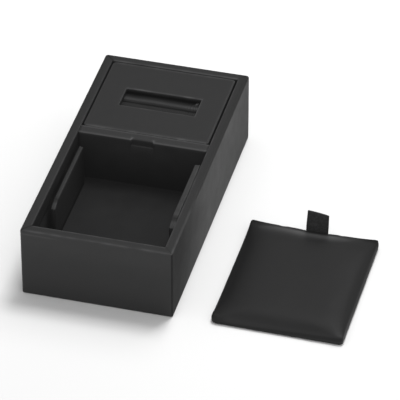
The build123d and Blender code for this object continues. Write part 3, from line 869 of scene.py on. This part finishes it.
def side_point(rim, share):
    """A point on the pad's side, at a share of the way from the top's edge down to the hem."""
    outward = (rim - corner_middle(rim)).normalized()
    bulge = SIDE_BULGE * (1 - at_ribbon(rim.x, rim.y)) * math.sin(math.pi * share) ** 2
    spread = FRONT_SPREAD * max(0.0, -outward.y) * min(share / 0.4, 1)
    tuck = HEM_TUCK * max(0.0, (share - 0.85) / 0.15) ** 2
    out = TOP_INSET * (1 - max(0.0, 1 - share / 0.3) ** 2) + bulge
    out += spread - tuck
    along = rim + SIDE_WANDER * soft_noise(rim, 9 * MM, 71) * outward
    z = rim.z + (HEM_EDGE_Z - rim.z) * share
    point = Vector((along.x, along.y, z)) + out * outward
    if outward.y < -0.7:
        wander = 0.4 * MM * soft_noise(rim, 7 * MM, 75)
        pinch = fade(z - front_fold_z(rim.x) - wander, 0.5 * MM)
        point += FRONT_FOLD_DEPTH * pinch * Vector((0, 1, 0))
    return point


def pad_painted_light(point):
    """Painted light on the pad's cover: highlights in a band along the rear, faintly along the front and on
    the corner hips, and painted shade near the rear right corner and the ribbon, along the left and rear
    edges, in the front fold and the rear kinks.
    """
    to_left, to_right = PAD_HALF_X + point.x, PAD_HALF_X - point.x
    to_front, to_rear = PAD_HALF_Y + point.y, PAD_HALF_Y - point.y
    rear_painted_highlight = fade(to_rear - 5 * MM, 5 * MM) * (1 - 0.85 * (point.x / PAD_HALF_X) ** 2)
    front_painted_highlight = fade(to_front, 2.5 * MM)
    hip_highlights = sum(fade(side - end, 1.0 * MM) * fade(math.hypot(side, end) - 4 * MM, 7 * MM)
               for side in (to_left, to_right) for end in (to_front, to_rear))
    rub_and_painted_light = 0.75 * rear_painted_highlight + 0.1 * front_painted_highlight + 0.1 * hip_highlights
    # Painted shade near the rear right corner and the ribbon, along the left and rear edges, in the front
    # fold and in the kinks
    rear_right_painted_shade = 0.9 * fade(to_right, 18 * MM) * fade(to_rear, 18 * MM) + 0.3 * at_ribbon(point.x, point.y)
    edge_painted_shade = 0.9 * fade(to_left, 5 * MM) + 2.0 * fade(to_rear, 3.5 * MM)
    front_fold_painted_shade = fade(to_front, 1.5 * MM) * fade(point.z - front_fold_z(point.x), 0.55 * MM)
    return rub_and_painted_light - rear_right_painted_shade - edge_painted_shade - 0.8 * front_fold_painted_shade - 0.9 * rear_kinks(point.x, to_rear)


def pad_top():
    """Points over the pad's top, row by row from the front to the rear."""
    shares = [2 * column / PAD_STEPS_X - 1 for column in range(PAD_STEPS_X + 1)]
    points = []
    for row in range(PAD_STEPS_Y + 1):
        y = (PAD_HALF_Y - TOP_INSET) * (2 * row / PAD_STEPS_Y - 1)
        points += [round_corner(Vector(((PAD_HALF_X - TOP_INSET) * share, y, 0))) for share in shares]
    for point in points:
        point.z = pad_height(point.x, point.y) + PAD_LUMP * soft_noise(point, PAD_LUMP_SIZE, 77)
    return points


def pad_mesh():
    """The pad's closed form: top, sides down to the hem, and the underside."""
    vertices = pad_top()
    wide = PAD_STEPS_X + 1
    last = PAD_STEPS_Y * wide
    rim = list(range(wide)) + [row * wide + PAD_STEPS_X for row in range(1, PAD_STEPS_Y + 1)]
    rim += [last + column for column in range(PAD_STEPS_X - 1, -1, -1)]
    rim += [row * wide for row in range(PAD_STEPS_Y - 1, 0, -1)]
    starts = [row * wide + column for row in range(PAD_STEPS_Y) for column in range(PAD_STEPS_X)]
    faces = [(start, start + 1, start + wide + 1, start + wide) for start in starts]
    top = [vertices[i] for i in rim]
    shares = [step / PAD_SIDE_ROWS for step in range(1, PAD_SIDE_ROWS + 1)]
    rings = [[side_point(point, share) for point in top] for share in shares]
    rings.append([Vector((0.82 * point.x, 0.84 * point.y, PAD_HEM_Z)) for point in top])
    above = rim
    for ring in rings:
        below = list(range(len(vertices), len(vertices) + len(ring)))
        vertices += ring
        faces += [(above[i], below[i], below[(i + 1) % len(ring)], above[(i + 1) % len(ring)])
                  for i in range(len(ring))]
        above = below
    faces.append(tuple(reversed(above)))
    mesh = bpy.data.meshes.new("pad_cushion")
    mesh.from_pydata(vertices, [], faces)
    return mesh


def is_glued(place):
    """Whether the cover is held at a place: on the board, at the top's corners and under the ribbon."""
    corners = [Vector((x * PAD_HALF_X, y * PAD_HALF_Y, PAD_CROWN_Z)) for x in (-1, 1) for y in (-1, 1)]
    at_corner = min((place - corner).length for corner in corners) < GLUED_CORNER
    return place.z < PAD_BOARD_TOP or at_corner or at_ribbon(place.x, place.y) > 0.4


def puff_up(mesh):
    """Presses the cover out over its foam with a short cloth simulation, held where it is glued.

    The simulation runs at ten times the size, where it is stable, and no point moves far.
    """
    trial = place_object("pad_trial", mesh.copy())
    trial.data.transform(Matrix.Scale(PUFF_SCALE, 4))
    glued = trial.vertex_groups.new(name="glued")
    glued.add([vertex.index for vertex in mesh.vertices if is_glued(vertex.co)], 1.0, "REPLACE")
    cover = trial.modifiers.new("cover", "CLOTH").settings
    cover.vertex_group_mass = "glued"
    cover.quality = 8
    cover.bending_stiffness = 2
    cover.use_pressure = True
    cover.uniform_pressure_force = 2
    cover.effector_weights.gravity = 0
    for step in range(1, PUFF_FRAMES + 1):
        bpy.context.scene.frame_set(step)
    pressed = trial.evaluated_get(bpy.context.evaluated_depsgraph_get()).data
    for vertex, target in zip(mesh.vertices, pressed.vertices):
        move = target.co / PUFF_SCALE - vertex.co
        if move.length > 0:
            vertex.co += PUFF_LIMIT * math.tanh(move.length / PUFF_LIMIT) * move.normalized()
    bpy.data.objects.remove(trial)
    bpy.context.scene.frame_set(1)


def make_pad_cushion():
    """The finished pad: puffed up, with its painted light, subdivided once and put in its place."""
    mesh = pad_mesh()
    puff_up(mesh)
    mark_wear_and_painted_light(mesh, [pad_painted_light(vertex.co) for vertex in mesh.vertices])
    mesh.transform(PAD_PLACE)
    mesh.shade_smooth()
    mesh.materials.append(make_leatherette("pad_leather", PAD_TONE, PAD_PATCH,
                                           roughness=0.5, pebble=0.45 * MM, depth=0.05 * MM, shine=0.208))
    cushion = place_object("pad_cushion", mesh)
    cushion.modifiers.new("softened", "SUBSURF").render_levels = 1
    return cushion


pad_cushion = make_pad_cushion()
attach(pad_cushion, "pad")
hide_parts("pad_cover", "pad_foam")

# Ribbon tab: a loop of black grosgrain at the middle of the pad's rear edge
# Its two ends are pinched together and glued under the board, and the loop stands up and
# leans back. It stands a little higher at the left, its woven edges are darker, and shade is
# painted along the loop's fold.

RIBBON_HALF = 7.2 * MM
RIBBON_THICK = 0.3 * MM
RIBBON_HEIGHT = 12.8 * MM
RIBBON_SKEW = 1.8 * MM
RIBBON_ARCH = 0.35 * MM
RIBBON_SWAY, RIBBON_SWAY_SIZE = 0.35 * MM, 9 * MM
RIBBON_EDGE = 0.8 * MM
RIBBON_BEND = 0.7 * MM
FOOT_SPREAD = 0.4 * MM
FOOT_DEPTH = 0.3 * MM
LOOP_RADIUS = 0.8 * MM
PINCH_HEIGHT = 5 * MM
TAB_LEAN = math.radians(11)
TAB_FOOT = Vector((RIBBON_X, 52.75 * MM, 4.9 * MM))
TAB_PLACE = PAD_PLACE @ Matrix.Translation(TAB_FOOT) @ Matrix.Rotation(-TAB_LEAN, 4, "X")
RIB_PITCH = 0.5 * MM
YARN_PITCH = 0.35 * MM
SLUB_SIZE = 1.3 * MM
WEAVE_DEPTH = 0.12 * MM
WEAVE_DARK = (0.004, 0.004, 0.004, 1)
WEAVE_BRIGHT = (0.065, 0.065, 0.067, 1)
# Dark of the woven edges, also used as painted shade along the loop's fold
SELVEDGE_DARK_AND_FOLD_SHADE = (0.0008, 0.0008, 0.0008, 1)


def ribbon_section(top):
    """Section of the loop as (y, z): up the front leg, over the fold, down the rear leg and back inside."""
    bend = top - LOOP_RADIUS
    legs = []
    for step in range(13):
        z = -FOOT_DEPTH + (bend + FOOT_DEPTH) * step / 12
        opened = as_share(z / PINCH_HEIGHT)
        legs.append((RIBBON_THICK + (LOOP_RADIUS - RIBBON_THICK / 2) * opened * opened * (3 - 2 * opened), z))
    over = arc((0, bend), LOOP_RADIUS + RIBBON_THICK / 2, 180, 0, 10)[1:-1]
    under = arc((0, bend), LOOP_RADIUS - RIBBON_THICK / 2, 0, 180, 10)[1:-1]
    outside = [(-half, z) for half, z in legs] + over + [(half, z) for half, z in reversed(legs)]
    inside = [(half - 0.95 * RIBBON_THICK, z) for half, z in legs] + under
    return outside + inside + [(0.95 * RIBBON_THICK - half, z) for half, z in reversed(legs)]


def ribbon_loops():
    """Sections of the ribbon from its left edge to its right edge, with the dark of its woven edges and
    painted shade along the fold.
    """
    places = [-RIBBON_HALF, -RIBBON_HALF + 0.1 * MM] + [RIBBON_HALF * (i / 10 - 1) for i in range(1, 20)]
    places += [RIBBON_HALF - 0.1 * MM, RIBBON_HALF]
    loops = []
    for x in places:
        across = x / RIBBON_HALF
        top = RIBBON_HEIGHT + RIBBON_SKEW * (1 - across) / 2 + RIBBON_ARCH * (1 - across * across)
        loop = []
        for y, z in ribbon_section(top):
            point = Vector((x + across * FOOT_SPREAD * (1 - z / top), y, z))
            point.y += RIBBON_SWAY * (z / top) ** 2 * soft_noise(Vector((x, 0, z)), RIBBON_SWAY_SIZE, 81)
            loop.append((point, -fade(RIBBON_HALF - abs(x), RIBBON_EDGE) - 0.8 * fade(top - z, RIBBON_BEND)))
        loops.append(loop)
    return loops


def bands(tree, place, pitch, axis, distortion):
    """Even bands across an axis, at the given pitch."""
    feeds = {"Vector": place, "Scale": math.pi / 10 / pitch, "Distortion": distortion}
    return add_node(tree, "ShaderNodeTexWave", feeds, bands_direction=axis).outputs["Fac"]


def make_grosgrain():
    """Black grosgrain: close cross ribs, yarns along the ribbon, uneven slubs, dark woven edges, and painted
    shade along the fold.
    """
    finish, tree, shader = start_finish("grosgrain", roughness=0.7, shine=0.25)
    shader.inputs["Sheen Weight"].default_value = 0.1
    place = object_place(tree)
    ribs = bands(tree, place, RIB_PITCH, "Z", distortion=0.4)
    yarn = bands(tree, place, YARN_PITCH, "X", distortion=0.6)
    slubs = stretch(tree, lumps(tree, place, SLUB_SIZE, detail=3.0), 0.35, 0.65)
    weave = reckon(tree, "MULTIPLY", ribs, yarn)
    lively = reckon(tree, "MULTIPLY", weave, slubs)
    shaded = stretch(tree, read_wear_and_painted_light(tree), 0.0, -1.0)
    plain = mix_tones(tree, lively, WEAVE_DARK, WEAVE_BRIGHT)
    tone = mix_tones(tree, shaded, plain, SELVEDGE_DARK_AND_FOLD_SHADE)
    set_surface(tree, shader, tone, height=weave, strength=0.7, depth=WEAVE_DEPTH)
    return finish


grosgrain = make_grosgrain()
cover_with(grosgrain, ["tab_tail"])
ribbon = skin_between("ribbon", ribbon_loops(), grosgrain)
ribbon.data.transform(TAB_PLACE)
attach(ribbon, "pull_tab")
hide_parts("pull_tab")

# Studio: a matt white table in white surroundings, and the photograph's viewpoint
# A wide soft box hangs behind and to the right and gives the leather its gloss. A smaller one
# overhead gives the shadow under the tray, with a polariser that keeps it off the gloss.

AZIMUTH = math.radians(14.662)
ELEVATION = math.radians(37.591)
DISTANCE = 2332 * MM
AIM = Vector((36.486, 23.873, 0)) * MM
LENS = 309.42
LENS_GLARE = 0.006
TABLE_HALF = 4
TABLE_WHITE = (0.535, 0.535, 0.535, 1)
LAMP_AIM = Vector((0.05, 0, 0))
# Each part of the room's light: its axis, its side of the axis, how narrow it is and how strong
ROOM_LIGHT = {
    "above": ("Z", 1, 2, 0.86),
    "front": ("Y", -1, 1, 1.04),
    "left": ("X", -1, 1, 0.32),
    "right": ("X", 1, 1, 0.736),
    "low at the rear": ("Y", 1, 12, 0.95),
}

table_mesh = bpy.data.meshes.new("table")
table_corners = [(TABLE_HALF * x, TABLE_HALF * y, 0) for x, y in ((-1, -1), (1, -1), (1, 1), (-1, 1))]
table_mesh.from_pydata(table_corners, [], [(0, 1, 2, 3)])
table_finish, _, table_shader = start_finish("table", roughness=0.6, shine=0.2)
table_shader.inputs["Base Color"].default_value = TABLE_WHITE
table_mesh.materials.append(table_finish)
place_object("table", table_mesh)


def soft_box(name, place, size, power, glossy=True):
    """A square area light at a place, turned towards the tray and the pad."""
    light = bpy.data.lights.new(name, "AREA")
    light.shape = "RECTANGLE"
    light.size = light.size_y = size
    light.energy = power
    lamp = place_object(name, light)
    lamp.location = place
    lamp.rotation_euler = (LAMP_AIM - Vector(place)).to_track_quat("-Z", "Y").to_euler()
    lamp.visible_glossy = glossy


soft_box("key_box", place=(0.2182, 0.6279, 1.1258), size=0.6, power=5.0)
soft_box("overhead_box", place=(0.161, 0.306, 1.259), size=0.36, power=15.5, glossy=False)


def light_the_room():
    """White surroundings whose brightness depends on the direction, with a narrow glow low at the rear."""
    room = bpy.data.worlds.new("studio")
    room.use_nodes = True
    tree = room.node_tree
    seen = add_node(tree, "ShaderNodeTexCoord", {}).outputs["Generated"]
    sides = add_node(tree, "ShaderNodeSeparateXYZ", {"Vector": seen})
    total = 0.0
    for axis, turn, narrowness, strength in ROOM_LIGHT.values():
        facing = reckon(tree, "MULTIPLY", sides.outputs[axis], turn)
        towards = reckon(tree, "MAXIMUM", facing, 0.0)
        lobe = reckon(tree, "POWER", towards, narrowness)
        total = reckon(tree, "MULTIPLY_ADD", lobe, strength, total)
    background = tree.nodes["Background"]
    background.inputs["Color"].default_value = (1, 1, 1, 1)
    tree.links.new(total, background.inputs["Strength"])
    return room


bpy.context.scene.world = light_the_room()
view = bpy.context.scene.view_settings
view.view_transform = "Standard"
view.use_curve_mapping = True
view.curve_mapping.black_level = (-LENS_GLARE,) * 3
view.curve_mapping.update()

back = Vector((math.sin(AZIMUTH) * math.cos(ELEVATION), -math.cos(AZIMUTH) * math.cos(ELEVATION),
               math.sin(ELEVATION)))
camera_data = bpy.data.cameras.new("camera")
camera_data.lens = LENS
camera_data.sensor_width = 36
camera_data.clip_start, camera_data.clip_end = 0.1, 20
camera = place_object("camera", camera_data)
camera.location = AIM + back * DISTANCE
camera.rotation_euler = (-back).to_track_quat("-Z", "Y").to_euler()
bpy.context.scene.camera = camera
